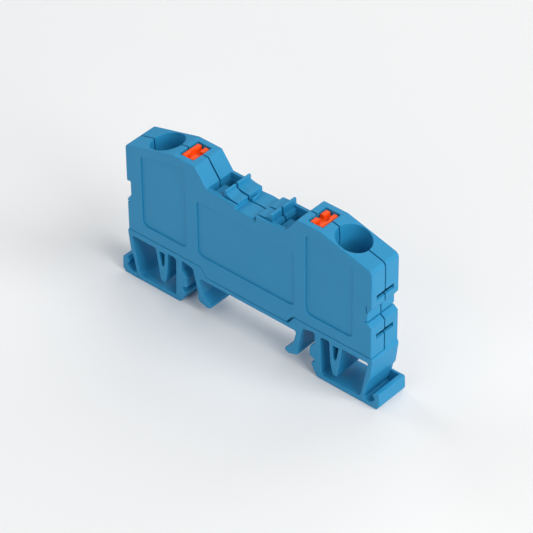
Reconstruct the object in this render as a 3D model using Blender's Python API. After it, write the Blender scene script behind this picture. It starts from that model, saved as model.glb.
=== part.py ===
"""A rail-mounted feed-through terminal block with two push-in clamps.

X runs along the length, Y through the thickness and Z up from the underside of the feet.
Outlines are drawn in the XZ plane in millimetres and stood out along Y; the right-hand
half is drawn, and the left-hand half is its mirror image.
"""

from math import atan2, cos, pi, radians, sin, tan

import bmesh
import bpy
from mathutils import Matrix, Vector

MM = 0.001

# Housing.
HALF_LENGTH = 32.0
HALF_WIDTH = 4.1
HEIGHT = 36.8
SHOULDER_Z = 33.4
CREASE_X = 19.25
CREST_X = 13.2
WAIST_X = 10.25
WAIST_Z = 32.7
LIP_X = 34.2
PARTING_GAP = 0.3
RIM_Y = 3.6
RIM_GAP = 0.25
CARRIER_EDGE_X = 2.65
RIDGE_X = (5.5, 6.2)
LEDGE_Z = 32.1
COVER_LINE_Z = 12.05
COVER_LINE_CENTRE_Z = 9.95
BASE_Z = 8.8
CAVITY_Y = 3.05
WEB_THICKNESS = 0.6
PANEL_DEPTH = 0.45

# Rail grip: a 35 mm rail is held between the hooks, at its two edges.
RAIL_HALF_WIDTH = 17.5

# Wire entry: a round funnel as (depth below the sloped top facet, radius). It goes straight
# down at first and then leans towards the clamp, by a share of the further depth.
ENTRY_X = 24.1
ENTRY_STATIONS = [(-2.0, 3.7), (0.2, 3.7), (3.0, 3.5), (5.0, 3.4), (6.5, 3.0), (8.5, 2.3), (10.5, 2.3)]
ENTRY_UPRIGHT = 4.0
ENTRY_LEAN = 0.42

# Push button, its window and its travel.
BUTTON_X = (15.05, 18.25)
BUTTON_HALF_WIDTH = 2.4
BUTTON_TOP_Z = 36.55
RECESS_DEPTH = 0.9
WINDOW_GAP = 0.3

# Bridging slot: a shallow trough, with the way down to the bar at its rear end.
SLOT_FLOOR_Z = 31.3
SLOT_HALF_WIDTH = 3.3
SLOT_WAY_X = (6.95, WAIST_X)
SLOT_WAY_Y = (0.9, SLOT_HALF_WIDTH)
GROOVE_WIDTH = 0.35
GROOVE_FLOOR_Z = 30.3

# Metal.
BAR_THICKNESS = 1.2
BAR_HALF_WIDTH = 2.2
BAR_LOW_Z = 15.8
BAR_HIGH_Z = 20.6
BAR_RISER_X = 10.95
CAGE_HALF_WIDTH = 2.75
CAGE_WALL = 0.35
SPRING_THICKNESS = 0.5
SPRING_HALF_WIDTH = 2.1
BEND = Vector((13.7, 26.4))
BEND_R = 1.6
LEG_SLOPE = radians(10)
LEG_FLAT = 4.4
CLAMP_SLOPE = radians(60)
CLAMP_LENGTH = 7.2

ARC_STEP = radians(15)
SIDES = {"left": -1, "right": 1}

PLASTIC_BLUE = (0.045, 0.235, 0.47, 1)
BUTTON_ORANGE = (1.0, 0.11, 0.012, 1)
TINNED_COPPER = (0.78, 0.74, 0.68, 1)
SPRING_STEEL = (0.56, 0.57, 0.58, 1)


def arc(centre, radius, start, end):
    """Points on a circle, from one angle to the other."""
    steps = max(2, round(abs(end - start) / ARC_STEP))
    turns = [start + (end - start) * i / steps for i in range(steps + 1)]
    return [centre + radius * Vector((cos(a), sin(a))) for a in turns]


def rounded_corner(before, corner, after):
    """One corner (x, z) or (x, z, radius), as the points that the outline passes through."""
    here = Vector(corner[:2])
    if len(corner) == 2:
        return [here]
    back = (Vector(before[:2]) - here).normalized()
    ahead = (Vector(after[:2]) - here).normalized()
    half = back.angle(ahead) / 2
    centre = here + (back + ahead).normalized() * corner[2] / sin(half)
    first = here + back * corner[2] / tan(half) - centre
    last = here + ahead * corner[2] / tan(half) - centre
    start = atan2(first.y, first.x)
    turn = (atan2(last.y, last.x) - start + pi) % (2 * pi) - pi
    return arc(centre, corner[2], start, start + turn)


def outline(corners):
    """A closed outline with its corners rounded."""
    points = []
    for i, corner in enumerate(corners):
        points += rounded_corner(corners[i - 1], corner, corners[(i + 1) % len(corners)])
    return points


def path(corners):
    """An open line with its inner corners rounded."""
    points = [Vector(corners[0][:2])]
    for before, corner, after in zip(corners, corners[1:], corners[2:]):
        points += rounded_corner(before, corner, after)
    return points + [Vector(corners[-1][:2])]


def strip(points, thickness):
    """The outline of a bent strip whose middle line is the open line given."""
    left = []
    right = []
    for i, point in enumerate(points):
        along = [
            (b - a).normalized()
            for a, b in zip(points[max(i - 1, 0) : i + 1], points[i : i + 2])
            if a != b
        ]
        if i == 0:
            along = [(points[1] - points[0]).normalized()]
        if i == len(points) - 1:
            along = [(points[-1] - points[-2]).normalized()]
        mean = sum(along, Vector((0, 0))).normalized()
        across = Vector((-mean.y, mean.x)) * thickness / 2 / mean.dot(along[0])
        left.append(point + across)
        right.append(point - across)
    return left + right[::-1]


def flipped(corners, side):
    """The corners as drawn for the right-hand side, or mirrored for the left."""
    return [(side * c[0], *c[1:]) for c in corners]


def material(name, colour, roughness, metallic=0.0):
    made = bpy.data.materials.new(name)
    made.use_nodes = True
    shader = made.node_tree.nodes["Principled BSDF"]
    shader.inputs["Base Color"].default_value = colour
    shader.inputs["Roughness"].default_value = roughness
    shader.inputs["Metallic"].default_value = metallic
    return made


def add_object(name, mesh_builder, look=None):
    """An object from a bmesh that is in millimetres."""
    mesh_builder.transform(Matrix.Scale(MM, 4))
    bmesh.ops.recalc_face_normals(mesh_builder, faces=mesh_builder.faces)
    mesh = bpy.data.meshes.new(name)
    mesh_builder.to_mesh(mesh)
    mesh_builder.free()
    made = bpy.data.objects.new(name, mesh)
    bpy.context.scene.collection.objects.link(made)
    if look:
        mesh.materials.append(look)
        mesh.shade_smooth()
        mesh.set_sharp_from_angle(angle=radians(30))
    else:
        made.hide_render = True
        made.display_type = "WIRE"
    return made


def prism(name, points, y_low, y_high, look=None):
    """An XZ outline stood out along Y."""
    bm = bmesh.new()
    face = bm.faces.new([bm.verts.new((p[0], y_low, p[1])) for p in points])
    swept = bmesh.ops.extrude_face_region(bm, geom=[face])
    moved = [v for v in swept["geom"] if isinstance(v, bmesh.types.BMVert)]
    bmesh.ops.translate(bm, verts=moved, vec=(0, y_high - y_low, 0))
    return add_object(name, bm, look)


def box(x_range, y_range, z_range):
    """The outline and Y range of a plain block."""
    (x0, x1), (z0, z1) = x_range, z_range
    return [(x0, z0), (x1, z0), (x1, z1), (x0, z1)], *y_range


def entry_funnel(name, side):
    """A round cutter along the wire's way in, wide at the mouth."""
    slope = (HEIGHT - SHOULDER_Z) / (HALF_LENGTH - CREASE_X)
    mouth_z = SHOULDER_Z + (HALF_LENGTH - ENTRY_X) * slope
    bm = bmesh.new()
    rings = []
    for depth, radius in ENTRY_STATIONS:
        centre_x = ENTRY_X - ENTRY_LEAN * max(0, depth - ENTRY_UPRIGHT)
        ring = bmesh.ops.create_circle(bm, segments=32, radius=radius)["verts"]
        for vert in ring:
            x = centre_x + side * vert.co.x
            vert.co.x = side * x
            vert.co.z = mouth_z - depth - slope * (x - ENTRY_X)
        rings.append(ring)
    for low, high in zip(rings, rings[1:]):
        for i in range(len(low)):
            after = (i + 1) % len(low)
            bm.faces.new((low[i], low[after], high[after], high[i]))
    bm.faces.new(rings[0])
    bm.faces.new(rings[-1])
    return add_object(name, bm)


def combine(body, tool, operation="DIFFERENCE"):
    modifier = body.modifiers.new(tool.name, "BOOLEAN")
    modifier.operation = operation
    modifier.object = tool


def top_corners(with_ridge):
    """The right-hand half of the housing's top, from the middle out to the shoulder."""
    edge = (CARRIER_EDGE_X, 31.35)
    rim = [(CARRIER_EDGE_X, 32.4, 0.15)]
    carrier = [
        (CARRIER_EDGE_X, 32.5, 0.15),
        (5.0, 32.8, 0.9),
        (RIDGE_X[0], 33.45),
        (RIDGE_X[0], 34.0, 0.15),
        (RIDGE_X[1], 34.0, 0.2),
        (RIDGE_X[1], WAIST_Z),
    ]
    return [
        (0, 31.75, 16.0),
        edge,
        *(carrier if with_ridge else rim),
        (WAIST_X, WAIST_Z),
        (CREST_X, HEIGHT - 0.05, 0.3),
        (CREASE_X, HEIGHT, 0.8),
        (HALF_LENGTH, SHOULDER_Z, 1.2),
    ]


def foot_corners():
    """The right-hand half of the underside, from the end face in to the middle."""
    return [
        (32.35, 11.5, 0.3),
        (32.05, 9.0, 2.0),
        (31.7, 6.5, 1.5),
        (31.1, 5.3, 1.0),
        (30.25, 1.3, 0.3),
        (31.5, 1.0, 0.3),
        (32.5, 1.6, 0.2),
        (33.0, 2.2, 0.2),
        (32.4, 3.2, 0.1),
        (33.0, 4.0, 0.3),
        (34.1, 3.95, 0.3),
        (LIP_X, 1.0, 0.4),
        (33.5, 0, 0.3),
        (18.4, 0, 0.5),
        (17.45, 1.3, 0.4),
        (16.65, 2.95, 0.15),
        (RAIL_HALF_WIDTH, 3.45),
        (RAIL_HALF_WIDTH, 4.15),
        (16.3, 4.75, 0.15),
        (16.35, 7.0, 0.3),
        (17.6, 8.3, 0.3),
        (17.6, 11.0, 0.5),
        (14.6, 10.4, 0.5),
        (14.05, 8.4, 2.0),
        (13.3, 4.8, 1.0),
        (13.3, 2.9, 0.3),
        (10.8, 2.1, 0.3),
        (9.8, 2.6, 0.15),
        (9.95, 3.2, 0.2),
        (11.9, 5.1, 0.8),
        (12.3, 6.3, 1.0),
        (12.8, BASE_Z, 0.5),
    ]


def end_notch(side):
    """The notch in the end face, from the top down; the left one is the right one inverted."""
    if side > 0:
        return [(32.0, 24.4), (31.0, 22.9), (31.0, 19.6), (32.0, 19.6)]
    return [(-32.0, 24.4), (-31.0, 24.4), (-31.0, 21.1), (-32.0, 19.6)]


def cover_line(lift, half_length):
    """The edge between cover and base strip, right to left, raised by the lift."""
    right = [(half_length, COVER_LINE_Z), (14.2, COVER_LINE_Z, 1.0), (9.0, COVER_LINE_CENTRE_Z, 1.0)]
    whole = right + flipped(right, -1)[::-1]
    return [(c[0], c[1] + lift, *c[2:]) for c in whole]


def upper_outline(with_ridge=True):
    """Left notch, top and right notch: everything above the cover line, left to right."""
    half = top_corners(with_ridge)
    return end_notch(-1)[::-1] + flipped(half, -1)[:0:-1] + half + end_notch(1)


def housing_outline():
    under = foot_corners() + flipped(foot_corners(), -1)[::-1]
    return outline(upper_outline() + [(32.0, 12.3)] + under + [(-32.0, 12.3)])


def base_outline():
    """The strip and feet below the cover line, which are as wide as the whole block."""
    top = cover_line(-PARTING_GAP / 2, 32.1)[::-1]
    under = foot_corners() + flipped(foot_corners(), -1)[::-1]
    return outline(top + under)


def cover_outline(with_ridge):
    return outline(upper_outline(with_ridge) + cover_line(PARTING_GAP / 2, HALF_LENGTH))


def foot_window(side):
    """The opening in the foot, with the rib that hangs into it."""
    corners = [
        (19.05, 10.8, 0.8),
        (21.35, 10.8, 0.3),
        (21.7, 5.4, 2.0),
        (22.3, 2.9, 0.4),
        (23.5, 3.0, 0.4),
        (23.7, 4.4, 1.0),
        (24.7, 10.6, 0.3),
        (31.25, 10.6, 0.4),
        (29.5, 2.0, 0.8),
        (28.95, 1.2, 0.2),
        (19.4, 1.2, 0.4),
    ]
    return outline(flipped(corners, side))


def foot_web(side):
    """The web that joins the foot's sloping wall to its lip, at the rear face only."""
    return outline(flipped([(30.3, 0.8), (34.0, 0.8), (34.1, 3.95, 0.3), (30.6, 3.95)], side))


def rib_hole(side):
    corners = [(22.25, 10.3, 0.2), (23.8, 10.3, 0.2), (23.15, 6.9, 0.2), (22.45, 6.9, 0.2)]
    return outline(flipped(corners, side))


def clamp_chamber(side):
    corners = [
        (9.9, 14.6, 0.4),
        (24.9, 14.6, 0.4),
        (26.9, 24.6),
        (26.9, 26.4, 0.6),
        (19.5, 26.4),
        (19.2, 29.9, 0.4),
        (11.3, 29.9, 0.6),
        (11.3, 22.6),
        (9.9, 22.6),
    ]
    return outline(flipped(corners, side))


def slot_outline(side):
    """The trough of the bridging slot, with the narrow ledge beside the ridge."""
    inner = RIDGE_X[1]
    corners = [
        (inner, LEDGE_Z),
        (inner + 0.4, LEDGE_Z),
        (SLOT_WAY_X[0], SLOT_FLOOR_Z),
        (WAIST_X, SLOT_FLOOR_Z),
        (WAIST_X, 35.0),
        (inner, 33.8),
    ]
    return outline(flipped(corners, side))


def slot_groove(side):
    """The narrow groove along the slot's left-hand wall, whichever end it is at."""
    left_wall = min(side * x for x in SLOT_WAY_X)
    across = (left_wall, left_wall + GROOVE_WIDTH)
    return box(across, (-SLOT_HALF_WIDTH, SLOT_WAY_Y[0] + 0.1), (GROOVE_FLOOR_Z, 31.6))


def end_pocket(side):
    corners = [(26.2, 14.6, 0.4), (29.9, 14.6, 0.4), (29.9, 30.8, 0.4), (28.9, 30.8, 0.3), (28.2, 24.6)]
    return outline(flipped(corners, side))


def left_panel():
    low = [(-16.0, 14.9, 1.3), (-27.9, 14.9, 1.3)]
    corners = low + [(-27.9, 32.2, 0.8), (-24.7, 33.0, 1), (-16.0, 35.1, 0.6)]
    return outline(corners)


def right_panel():
    return outline([(27.3, 14.8, 1.3), (27.3, 32.3, 0.6), (15.35, 34.2, 0.6), (15.35, 14.8, 1.3)])


def centre_panel():
    return outline([(-13.0, 14.9, 1.3), (12.4, 14.9, 1.3), (12.4, 28.4, 0.6), (-13.0, 28.4, 0.6)])


def pocket_cutters():
    """Everything that is hollow across the parting, so it is cut from both halves alike."""
    inside = (-CAVITY_Y, CAVITY_Y)
    cutters = [
        prism("bar_tunnel_cut", *box((-10.5, 10.5), inside, (19.3, 22.6))),
        prism("low_pocket_cut", *box((-8.9, 8.9), inside, (12.6, 18.3))),
        prism("high_pocket_cut", *box((-6.4, 6.4), inside, (23.8, 30.0))),
    ]
    for label, side in SIDES.items():
        button = sorted(side * (x + g) for x, g in zip(BUTTON_X, (-WINDOW_GAP, WINDOW_GAP)))
        slot_way = sorted(side * x for x in SLOT_WAY_X)
        window_y = BUTTON_HALF_WIDTH + WINDOW_GAP
        cutters += [
            prism(f"{label}_chamber_cut", clamp_chamber(side), *inside),
            prism(f"{label}_end_pocket_cut", end_pocket(side), *inside),
            prism(f"{label}_window_cut", *box(button, (-window_y, window_y), (29.5, 38))),
            prism(f"{label}_slot_cut", slot_outline(side), -SLOT_HALF_WIDTH, SLOT_HALF_WIDTH),
            prism(f"{label}_slot_way_cut", *box(slot_way, SLOT_WAY_Y, (22, 32))),
            prism(f"{label}_slot_groove_cut", *slot_groove(side)),
            entry_funnel(f"{label}_entry_cut", side),
        ]
        end = sorted(side * x for x in (31.3, 33))
        for height, z_range in {"high": (26.5, 27.0), "low": (16.9, 17.4)}.items():
            cutters.append(prism(f"{label}_{height}_snap_cut", *box(end, (-2.6, 2.6), z_range)))
    return cutters


def make_rear_housing(look, pockets):
    """The half with the rail feet, whose base strip passes under the front cover."""
    body = prism("rear_housing", housing_outline(), PARTING_GAP / 2, HALF_WIDTH, look)
    strip_part = prism("base_strip_join", base_outline(), -HALF_WIDTH, 1.0)
    combine(body, strip_part, "UNION")
    for label, side in SIDES.items():
        web = prism(f"{label}_foot_web_join", foot_web(side), HALF_WIDTH - WEB_THICKNESS, HALF_WIDTH)
        combine(body, web, "UNION")
    for cutter in pockets:
        combine(body, cutter)
    for label, side in SIDES.items():
        combine(body, prism(f"{label}_foot_window_cut", foot_window(side), -5, 5))
        combine(body, prism(f"{label}_rib_hole_cut", rib_hole(side), -5, 5))
    return body


def make_front_cover(look, pockets):
    """The other half. Its front wall has a plain rim, with the ridges standing just behind it."""
    body = prism("front_cover", cover_outline(True), -RIM_Y, -PARTING_GAP / 2, look)
    wall = prism("front_wall_join", cover_outline(False), -HALF_WIDTH, -RIM_Y + 0.02)
    combine(body, wall, "UNION")
    for cutter in pockets:
        combine(body, cutter)
    for label, side in SIDES.items():
        behind = sorted(side * x for x in (CARRIER_EDGE_X, RIDGE_X[1] + 0.3))
        shape = box(behind, (-RIM_Y, -RIM_Y + RIM_GAP), (LEDGE_Z, 35.0))
        combine(body, prism(f"{label}_rim_gap_cut", *shape))
    panels = {"left": left_panel(), "centre": centre_panel(), "right": right_panel()}
    for label, points in panels.items():
        cutter = prism(f"{label}_panel_cut", points, -HALF_WIDTH - 1, -HALF_WIDTH + PANEL_DEPTH)
        combine(body, cutter)
    return body


def make_current_bar(look):
    """One stamped strip: raised in the middle, with a leaning contact leg at each end."""
    right = [
        (BAR_RISER_X, BAR_HIGH_Z, 0.9),
        (BAR_RISER_X, BAR_LOW_Z, 0.9),
        (21.47, BAR_LOW_Z, 1.2),
        (23.8, 24.6),
    ]
    line = path(flipped(right, -1)[::-1] + right)
    bar = prism("current_bar", strip(line, BAR_THICKNESS), -BAR_HALF_WIDTH, BAR_HALF_WIDTH, look)
    for label, side in SIDES.items():
        across = sorted(side * x for x in (7.8, 9.6))
        combine(bar, prism(f"{label}_bridge_hole_cut", *box(across, (0.9, 1.8), (19, 22))))
    return bar


def make_cage(label, side, look):
    """A folded steel cheek on each side of the clamp, joined behind the contact leg."""
    outer = [(13.4, 15.0, 0.5), (23.1, 15.0, 0.4), (25.45, 24.7, 0.4), (19.6, 23.6, 1), (13.4, 21.6, 0.8)]
    inner = [(10.0, 13.0), (22.25, 13.0), (25.35, 26.0), (10.0, 26.0)]
    half = CAGE_HALF_WIDTH
    cage = prism(f"{label}_clamp_cage", outline(flipped(outer, side)), -half, half, look)
    clear = half - CAGE_WALL
    combine(cage, prism(f"{label}_cage_cut", outline(flipped(inner, side)), -clear, clear))
    return cage


def make_spring_base(label, side, look):
    """The standing leg of the clamp spring, with its foot on the bar."""
    back = BEND.x - BEND_R
    line = path([(16.3, 16.95), (back, 16.95, 1.0), (back, BEND.y)])
    points = [(side * p.x, p.y) for p in strip(line, SPRING_THICKNESS)]
    return prism(f"{label}_clamp_spring", points, -SPRING_HALF_WIDTH, SPRING_HALF_WIDTH, look)


def make_spring_leg(label, side, look):
    """The bend and the leg that grips the wire, with its origin at the bend's centre."""
    bend = arc(Vector((0, 0)), BEND_R, radians(169), pi / 2 - LEG_SLOPE)
    flat_end = bend[-1] + LEG_FLAT * Vector((cos(LEG_SLOPE), -sin(LEG_SLOPE)))
    tip = flat_end + CLAMP_LENGTH * Vector((cos(CLAMP_SLOPE), -sin(CLAMP_SLOPE)))
    line = bend + path([tuple(bend[-1]), (*flat_end, 0.8), tuple(tip)])[1:]
    points = [(side * p.x, p.y) for p in strip(line, SPRING_THICKNESS)]
    leg = prism(f"{label}_spring_leg", points, -SPRING_HALF_WIDTH, SPRING_HALF_WIDTH, look)
    leg.location = (side * BEND.x * MM, 0, BEND.y * MM)
    return leg


def make_button(label, side, look):
    """The release button: a groove with one branch on top, a catch and a wedge nose below."""
    inner, outer = BUTTON_X
    corners = [
        (inner, 0, 0.25),
        (outer, 0, 0.25),
        (outer, -7.05),
        (18.9, -7.05, 0.15),
        (18.9, -7.8, 0.15),
        (outer, -8.3),
        (18.2, -8.63, 0.15),
        (17.7, -8.63, 0.15),
        (inner, -6.25),
    ]
    points = outline(flipped(corners, side))
    button = prism(f"{label}_release_button", points, -BUTTON_HALF_WIDTH, BUTTON_HALF_WIDTH, look)
    middle = (inner + outer) / 2
    groove_x = sorted(side * x for x in (middle - 0.5, middle + 0.5))
    branch_x = sorted(side * x for x in (inner - 1, middle))
    grooves = {
        "groove": box(groove_x, (-3, 3), (-RECESS_DEPTH, 1)),
        "branch": box(branch_x, (-0.65, 0.65), (-RECESS_DEPTH, 1)),
    }
    for arm, shape in grooves.items():
        cutter = prism(f"{label}_button_{arm}_cut", *shape)
        cutter.location.z = BUTTON_TOP_Z * MM
        combine(button, cutter)
    button.location.z = BUTTON_TOP_Z * MM
    return button


def main():
    for old in list(bpy.data.objects):
        bpy.data.objects.remove(old, do_unlink=True)
    blue = material("housing_blue", PLASTIC_BLUE, 0.5)
    cover_blue = material("cover_blue", PLASTIC_BLUE, 0.5)
    pockets = pocket_cutters()
    make_rear_housing(blue, pockets)
    make_front_cover(cover_blue, pockets)
    make_current_bar(material("bar_tinned_copper", TINNED_COPPER, 0.35, 1))
    for label, side in SIDES.items():
        make_cage(label, side, material(f"{label}_cage_steel", SPRING_STEEL, 0.4, 1))
        make_spring_base(label, side, material(f"{label}_spring_steel", SPRING_STEEL, 0.3, 1))
        make_spring_leg(label, side, material(f"{label}_leg_steel", SPRING_STEEL, 0.3, 1))
        make_button(label, side, material(f"{label}_button_orange", BUTTON_ORANGE, 0.45))


main()
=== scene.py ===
# %% [markdown]
# # A slim rail-mounted terminal block
#
# Two moulded plastic halves hold a current bar, two wire clamps and two orange release
# buttons. This lesson builds every piece as a mesh from its outline, gives each a finish
# made of shader nodes, and lights it softly on a pale floor.

from math import atan2, cos, pi, radians, sin, tan

import bmesh
import bpy
from mathutils import Matrix, Vector


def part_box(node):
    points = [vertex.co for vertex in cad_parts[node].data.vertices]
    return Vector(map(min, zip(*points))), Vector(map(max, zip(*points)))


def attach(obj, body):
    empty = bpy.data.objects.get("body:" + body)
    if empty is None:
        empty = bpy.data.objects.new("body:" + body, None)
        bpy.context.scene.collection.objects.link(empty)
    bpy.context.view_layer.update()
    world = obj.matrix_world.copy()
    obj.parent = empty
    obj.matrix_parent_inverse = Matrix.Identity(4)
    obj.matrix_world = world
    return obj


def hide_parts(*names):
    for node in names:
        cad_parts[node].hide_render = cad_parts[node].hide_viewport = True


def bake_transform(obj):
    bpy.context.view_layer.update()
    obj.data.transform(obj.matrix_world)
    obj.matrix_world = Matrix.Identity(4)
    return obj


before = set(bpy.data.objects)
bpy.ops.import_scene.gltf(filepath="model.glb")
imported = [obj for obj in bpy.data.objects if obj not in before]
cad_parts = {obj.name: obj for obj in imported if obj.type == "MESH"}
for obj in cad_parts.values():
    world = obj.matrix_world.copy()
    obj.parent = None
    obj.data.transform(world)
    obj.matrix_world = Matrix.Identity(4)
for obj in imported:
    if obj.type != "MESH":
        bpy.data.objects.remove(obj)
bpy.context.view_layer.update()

# %% [markdown]
# ## Measures
#
# Drawings of moulded parts are made in millimetres, and Blender works in metres, so the
# outlines below are in millimetres and are scaled once, when a mesh is made. The main
# sizes are read from the frame, so that the pieces land where its solids are.

# %% Measures from the frame
MM = 0.001


def frame_box(node):
    """The lowest and highest corner of one solid of the frame, in millimetres."""
    low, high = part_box(node)
    return low / MM, high / MM


_, HOUSING_HIGH = frame_box("rear_housing")
_, COVER_HIGH = frame_box("front_cover")
HALF_WIDTH = HOUSING_HIGH.y
HEIGHT = HOUSING_HIGH.z
LIP_X = HOUSING_HIGH.x
HALF_LENGTH = COVER_HIGH.x
PARTING_GAP = -2 * COVER_HIGH.y
SIDES = {"left": -1, "right": 1}
print(f"block {2 * LIP_X:.1f} x {2 * HALF_WIDTH:.1f} x {HEIGHT:.1f} mm")
print(f"gap between the halves {PARTING_GAP:.2f} mm")

# %% [markdown]
# ## Outlines with rounded corners
#
# Nearly every piece here is one outline carried straight through the thickness. An
# outline is a list of corners (x, z, radius). Each corner becomes a short arc. A corner
# with no radius gets a small one, because a mould never leaves a perfectly sharp edge.

# %% Corners and arcs
ARC_STEP = radians(9)
SMALL_RADIUS = 0.08


def arc(centre, radius, start, end):
    """Points on a circle, from one angle to the other."""
    steps = max(2, round(abs(end - start) / ARC_STEP))
    turns = [start + (end - start) * i / steps for i in range(steps + 1)]
    return [centre + radius * Vector((cos(a), sin(a))) for a in turns]


def rounded_corner(before, corner, after):
    """The points that replace one corner."""
    here = Vector(corner[:2])
    radius = corner[2] if len(corner) > 2 else SMALL_RADIUS
    back = (Vector(before[:2]) - here).normalized()
    ahead = (Vector(after[:2]) - here).normalized()
    half = back.angle(ahead) / 2
    centre = here + (back + ahead).normalized() * radius / sin(half)
    first = here + back * radius / tan(half) - centre
    last = here + ahead * radius / tan(half) - centre
    start = atan2(first.y, first.x)
    turn = (atan2(last.y, last.x) - start + pi) % (2 * pi) - pi
    return arc(centre, radius, start, start + turn)


def outline(corners):
    """A closed outline with its corners rounded."""
    points = []
    for i, corner in enumerate(corners):
        points += rounded_corner(corners[i - 1], corner, corners[(i + 1) % len(corners)])
    return points


def flipped(corners, side):
    """The corners as drawn for the right-hand side, or mirrored for the left."""
    return [(side * c[0], *c[1:]) for c in corners]


def rectangle(u_range, v_range, radius=SMALL_RADIUS):
    (u0, u1), (v0, v1) = sorted(u_range), sorted(v_range)
    return [(u0, v0, radius), (u1, v0, radius), (u1, v1, radius), (u0, v1, radius)]


print("points on a square's outline:", len(outline(rectangle((0, 1), (0, 1)))))

# %% [markdown]
# ## Growing an outline
#
# A moulded edge is rounded in the thickness too. A bevel modifier after many boolean
# cuts often breaks, so the rounding is built in: the outline shrinks a little, ring by
# ring, towards each face. Every side moves by the same distance, and each corner keeps
# its number of points, so that the rings can be joined by plain four-sided faces.

# %% Grow or shrink a list of corners
SHARPEST = 0.012


def grown(corners, by):
    """The corners with every side moved outward by a distance, or inward if it is below zero."""
    spots = [Vector(c[:2]) for c in corners]
    area = sum(a.cross(b) for a, b in zip(spots, spots[1:] + spots[:1]))
    hand = 1 if area > 0 else -1
    moved = []
    for i, corner in enumerate(corners):
        here = spots[i]
        into = (here - spots[i - 1]).normalized()
        out = (spots[(i + 1) % len(spots)] - here).normalized()
        normal_in = hand * Vector((into.y, -into.x))
        normal_out = hand * Vector((out.y, -out.x))
        shift = (normal_in + normal_out) * by / (1 + normal_in.dot(normal_out))
        radius = corner[2] if len(corner) > 2 else SMALL_RADIUS
        bulge = 1 if hand * into.cross(out) > 0 else -1
        moved.append((*(here + shift), max(radius + bulge * by, SHARPEST)))
    return moved


print("a 1 mm square grown by 0.1 mm:", grown(rectangle((0, 1), (0, 1)), 0.1)[0])

# %% [markdown]
# ## Lofting rings into a solid
#
# A loft joins rings of points, one station after another. A station is a place along the
# sweep and how far the outline is grown there. For a solid the rings shrink in a quarter
# circle at each end. For a cutter they flare, which rounds the rim of the hole.

# %% Stations and lofts
EDGE_STEPS = 4
EDGE_TURNS = [pi / 2 * i / EDGE_STEPS for i in range(EDGE_STEPS + 1)]
AXES = {
    "Y": Matrix(((1, 0, 0), (0, 0, 1), (0, 1, 0))),
    "Z": Matrix(((1, 0, 0), (0, 1, 0), (0, 0, 1))),
    "X": Matrix(((0, 0, 1), (1, 0, 0), (0, 1, 0))),
}


def solid_stations(low, high, low_round, high_round):
    """A solid between two faces, with its edges rounded at each face."""
    first = [(low + low_round * (1 - cos(a)), -low_round * (1 - sin(a))) for a in EDGE_TURNS]
    last = [(high - high_round * (1 - cos(a)), -high_round * (1 - sin(a))) for a in EDGE_TURNS]
    return (first if low_round else [(low, 0)]) + (last[::-1] if high_round else [(high, 0)])


def cutter_stations(deep, face, rim, beyond=1.0):
    """A cutter that goes in from a face, with a flare that rounds the rim there."""
    way = 1 if face > deep else -1
    flare = [(face - way * rim * (1 - cos(a)), rim * (1 - sin(a))) for a in EDGE_TURNS]
    return [(deep, 0)] + flare[::-1] + [(face + way * beyond, rim)]


def through_stations(low, high, rim):
    """A cutter that goes right through, with a flare at each face."""
    down = cutter_stations((low + high) / 2, low, rim)
    up = cutter_stations((low + high) / 2, high, rim)
    return down[:0:-1] + up[1:]


def mesh_object(name, bm):
    """An object from a mesh drawn in millimetres."""
    bm.transform(Matrix.Scale(MM, 4))
    bmesh.ops.recalc_face_normals(bm, faces=bm.faces)
    mesh = bpy.data.meshes.new(name)
    bm.to_mesh(mesh)
    bm.free()
    made = bpy.data.objects.new(name, mesh)
    bpy.context.scene.collection.objects.link(made)
    return made


def joined_rings(name, rings):
    """Rings of points in space, joined in order and closed at both ends."""
    bm = bmesh.new()
    loops = [[bm.verts.new(p) for p in ring] for ring in rings]
    for low, high in zip(loops, loops[1:]):
        for i in range(len(low)):
            after = (i + 1) % len(low)
            bm.faces.new((low[i], low[after], high[after], high[i]))
    bm.faces.new(loops[0])
    bm.faces.new(loops[-1])
    return mesh_object(name, bm)


def loft(name, ring, stations, axis="Y"):
    """Rings at stations along an axis. ring(by) gives the outline grown by that much."""
    turned = AXES[axis]
    rings = [[turned @ Vector((*p, place)) for p in ring(by)] for place, by in stations]
    return joined_rings(name, rings)


def cornered(corners):
    """The ring of a list of corners, ready to be grown."""
    return lambda by: outline(grown(corners, by))


print("stations of a solid 1 mm thick:", len(solid_stations(0, 1, 0.1, 0.1)))

# %% [markdown]
# ## Cutting and joining
#
# Booleans carve the windows and pockets. Each cutter is used once and thrown away, and
# the result is kept as a plain mesh, so that the finished piece carries no helpers. The
# weighted-normal modifier then shades the wide faces flat and lets only the rounded
# edges turn the light.

# %% Boolean helpers
CREASE_ANGLE = radians(32)


def evaluated_mesh(piece):
    graph = bpy.context.evaluated_depsgraph_get()
    return bpy.data.meshes.new_from_object(piece.evaluated_get(graph))


def drop(piece):
    mesh = piece.data
    bpy.data.objects.remove(piece)
    bpy.data.meshes.remove(mesh)


def combine(body, tools, operation="DIFFERENCE"):
    """Cuts each tool from the body, or joins it on, and throws the tools away."""
    for tool in tools:
        step = body.modifiers.new(tool.name, "BOOLEAN")
        step.operation = operation
        step.object = tool
        step.solver = "EXACT"
    old = body.data
    body.data = evaluated_mesh(body)
    body.modifiers.clear()
    bpy.data.meshes.remove(old)
    for tool in tools:
        drop(tool)


def tidy_mesh(piece):
    """Merges doubled points and shades the piece."""
    bm = bmesh.new()
    bm.from_mesh(piece.data)
    bmesh.ops.remove_doubles(bm, verts=bm.verts, dist=0.002 * MM)
    bmesh.ops.dissolve_degenerate(bm, edges=bm.edges, dist=0.002 * MM)
    bm.to_mesh(piece.data)
    bm.free()
    piece.data.shade_smooth()
    piece.data.set_sharp_from_angle(angle=CREASE_ANGLE)
    steady = piece.modifiers.new("steady_shading", "WEIGHTED_NORMAL")
    steady.keep_sharp = True
    steady.weight = 100


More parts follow.
